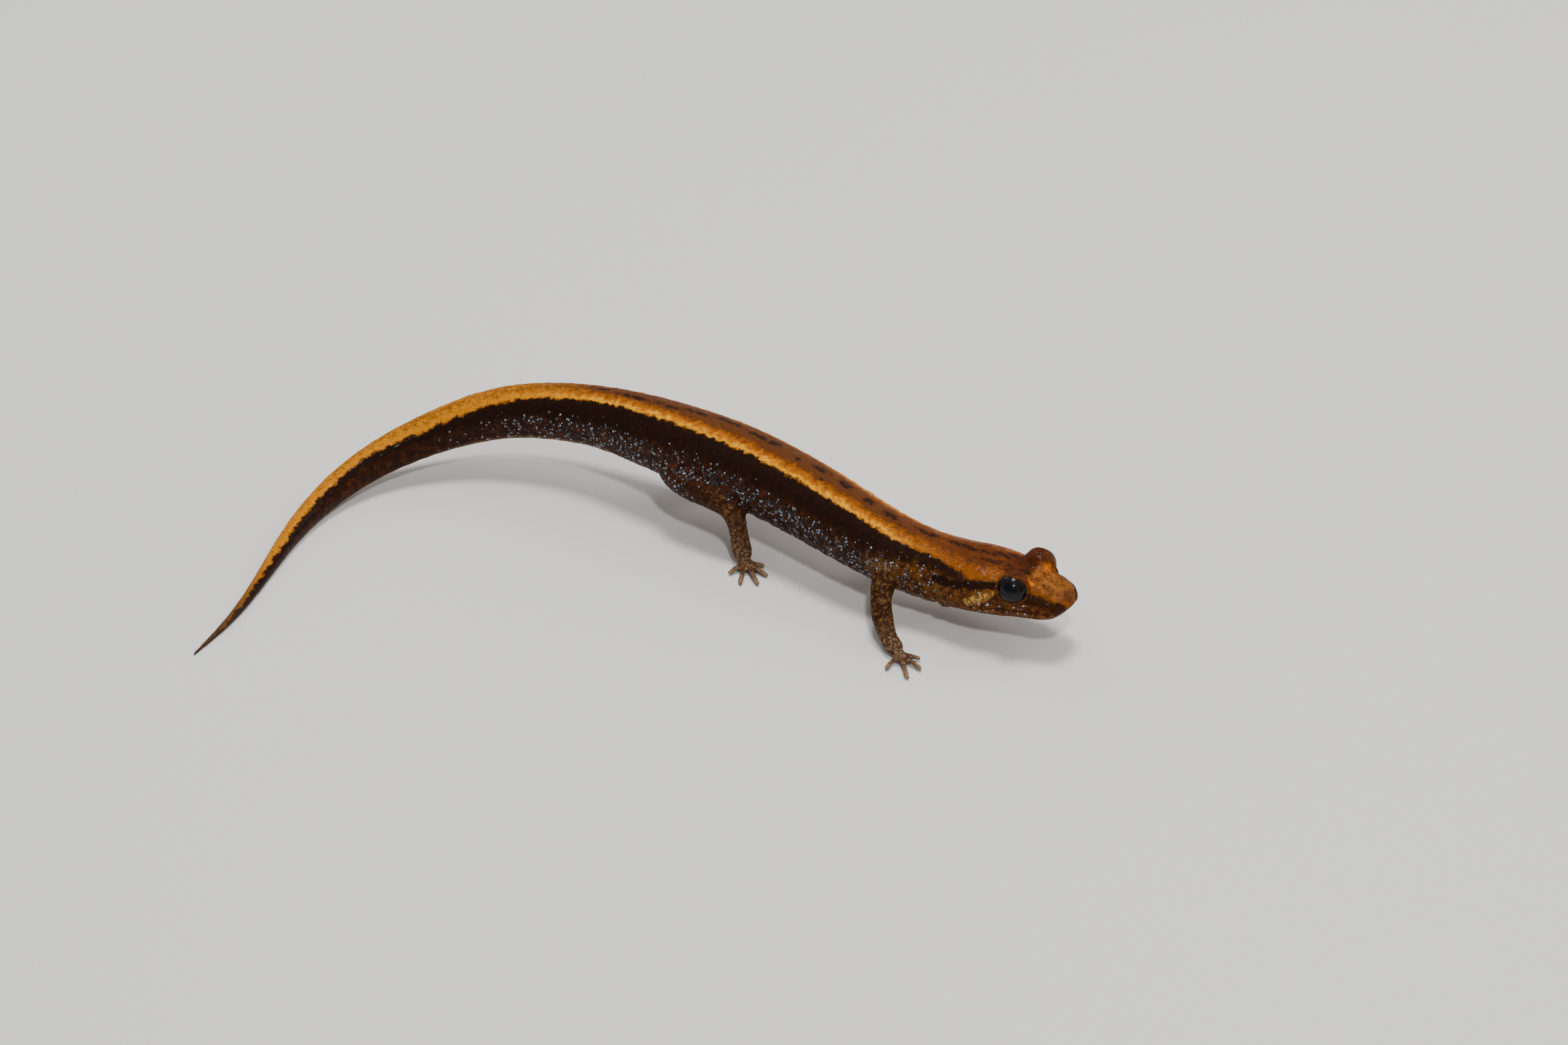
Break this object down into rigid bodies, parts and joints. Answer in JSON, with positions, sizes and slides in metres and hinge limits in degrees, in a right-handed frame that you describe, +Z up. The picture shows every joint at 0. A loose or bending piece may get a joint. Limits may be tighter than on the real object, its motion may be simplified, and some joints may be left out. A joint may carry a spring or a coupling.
{
  "type": "allegheny mountain dusky salamander, still life-size model",
  "caption": "Life-size dusky salamander standing still, with a striped back, bulging eyes and its tail laid in a curve.",
  "frame": {"origin": "middle of the bounding box at the floor under the feet and tail", "axes": "+X towards the head end, +Y towards the animal's left, +Z up"},
  "size_m": [0.0604, 0.031, 0.008],
  "materials": {
    "skin_back": "wet skin, brown-orange with dark mottles",
    "skin_tail": "wet skin, orange above and dark brown at the sides",
    "skin_legs": "wet skin, dark brown with grey-tan mottles",
    "eye": "glossy, near black"
  },
  "bodies": {
    "root": {"head": "skin_back", "neck": "skin_back", "torso": "skin_back", "tail_base": "skin_tail", "tail_middle": "skin_tail", "tail_end": "skin_tail", "eye_left": "eye", "eye_right": "eye", "foreleg_left": "skin_legs", "foreleg_right": "skin_legs", "forefoot_left": "skin_legs", "forefoot_right": "skin_legs", "hind_leg_left": "skin_legs", "hind_leg_right": "skin_legs", "hind_foot_left": "skin_legs", "hind_foot_right": "skin_legs"}
  },
  "joints": []
}
